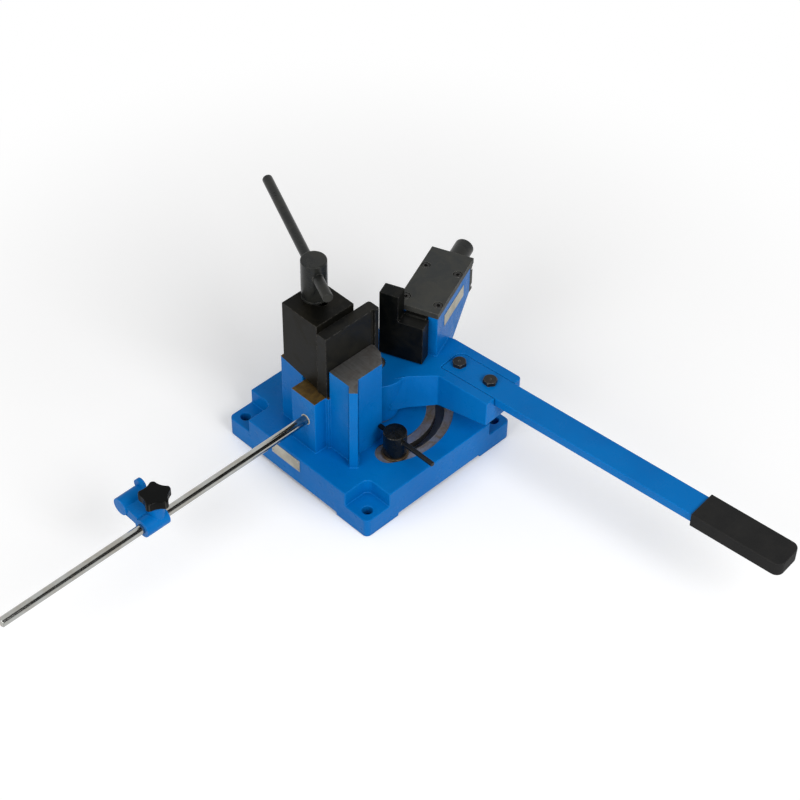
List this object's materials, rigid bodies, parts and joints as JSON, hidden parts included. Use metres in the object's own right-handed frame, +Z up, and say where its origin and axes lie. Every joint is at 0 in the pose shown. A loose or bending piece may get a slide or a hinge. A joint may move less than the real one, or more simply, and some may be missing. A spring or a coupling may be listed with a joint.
{
  "type": "angle bender",
  "caption": "Bench angle bender: a cast base with a wedge clamp for flat bar, a swing arm with lever and adjustable ram, and two stops.",
  "frame": {"origin": "centre of the four bench bolt holes, on the underside of the feet", "axes": "+Z up from the bench, +X along the jaws towards the swing arm's pivot side, +Y from the fixed jaw to the clamp block"},
  "size_m": [0.7592, 0.7645, 0.2945],
  "materials": {
    "blue_paint": "glossy enamel over rough casting",
    "black_steel": "black oxide, oiled",
    "bright_steel": "turned, bright",
    "chrome_rod": "ground and polished",
    "bronze": "turned",
    "grip_rubber": "soft, matt",
    "black_plastic": "moulded, satin",
    "bare_plate": "bare, satin"
  },
  "bodies": {
    "frame": {"base_casting": "blue_paint", "type_plate": "bare_plate", "type_plate_rivets": "bright_steel", "pivot_bush": "bronze", "thrust_washer": "bronze", "stop_rod": "chrome_rod", "rod_set_screw": "black_steel"},
    "clamp_lift": {"clamp_ring": "black_steel"},
    "clamp_screw": {"clamp_screw": "black_steel"},
    "clamp_handle": {"clamp_tee_bar": "black_steel"},
    "moving_jaw": {"clamp_block": "black_steel", "jaw_plate": "black_steel", "jaw_screws": "black_steel"},
    "arm": {"swing_arm": "blue_paint", "pivot_shaft": "bright_steel", "shaft_pin": "bright_steel", "pivot_washer": "bright_steel", "pivot_nut": "bright_steel", "lever_bar": "blue_paint", "lever_grip": "grip_rubber", "lever_bolts": "black_steel", "cover_plate": "black_steel", "cover_screws": "black_steel", "end_plate": "black_steel", "end_plate_screws": "black_steel", "column_label": "bare_plate"},
    "ram": {"ram": "black_steel"},
    "ram_screw": {"ram_screw": "black_steel"},
    "stop_carriage": {"angle_stop_washer": "bright_steel", "angle_stop_nut": "bright_steel"},
    "angle_stop": {"angle_stop_screw": "black_steel"},
    "stop_handle": {"angle_stop_bar": "black_steel"},
    "length_stop": {"rod_slider": "blue_paint"},
    "knob": {"slider_stud": "bright_steel", "star_knob": "black_plastic"}
  },
  "joints": [
    {"name": "clamp_lift", "type": "slide", "parent": "frame", "child": "clamp_lift", "axis": [0, 0, 1], "range_m": [0, 0.0021]},
    {"name": "clamp_screw_turn", "type": "hinge", "parent": "clamp_lift", "child": "clamp_screw", "pos_m": [-0.0505, 0.042, 0.24], "axis": [0, 0, 1], "range_deg": [0, 375]},
    {"name": "clamp_handle_slide", "type": "slide", "parent": "clamp_screw", "child": "clamp_handle", "axis": [-0.4147, -0.91, 0], "range_m": [-0.03, 0.13]},
    {"name": "jaw_slide", "type": "slide", "parent": "frame", "child": "moving_jaw", "axis": [0, 0.9848, 0.1736], "range_m": [0, 0.0122]},
    {"name": "arm_swing", "type": "hinge", "parent": "frame", "child": "arm", "pos_m": [0.004, -0.005, 0.05], "axis": [0, 0, 1], "range_deg": [-24, 68]},
    {"name": "ram_slide", "type": "slide", "parent": "arm", "child": "ram", "axis": [-0.9272, -0.3746, 0], "range_m": [-0.003, 0.015]},
    {"name": "ram_screw_turn", "type": "hinge", "parent": "arm", "child": "ram_screw", "pos_m": [0.15716, 0.01633, 0.174], "axis": [0.9272, 0.3746, 0], "range_deg": [-540, 2700]},
    {"name": "stop_shift", "type": "hinge", "parent": "frame", "child": "stop_carriage", "pos_m": [0.004, -0.005, 0.0475], "axis": [0, 0, 1], "range_deg": [-1.5, 6.5]},
    {"name": "stop_screw_turn", "type": "hinge", "parent": "stop_carriage", "child": "angle_stop", "pos_m": [-0.03236, -0.07794, 0.05], "axis": [0, 0, 1], "range_deg": [-60, 0]},
    {"name": "stop_handle_slide", "type": "slide", "parent": "angle_stop", "child": "stop_handle", "axis": [0, -1, 0], "range_m": [0, 0.02]},
    {"name": "length_stop_slide", "type": "slide", "parent": "frame", "child": "length_stop", "axis": [1, 0, 0], "range_m": [-0.18, 0.205]},
    {"name": "knob_turn", "type": "hinge", "parent": "length_stop", "child": "knob", "pos_m": [-0.3352, 0.0035, 0.126], "axis": [0, 0, 1], "range_deg": [0, 360]}
  ],
  "couplings": [
    {"joint": "clamp_lift", "follows": "clamp_screw_turn", "m_per_rad": 0.00031831},
    {"joint": "jaw_slide", "follows": "clamp_screw_turn", "m_per_rad": 0.0018331},
    {"joint": "ram_slide", "follows": "ram_screw_turn", "m_per_rad": 0.00031831}
  ]
}
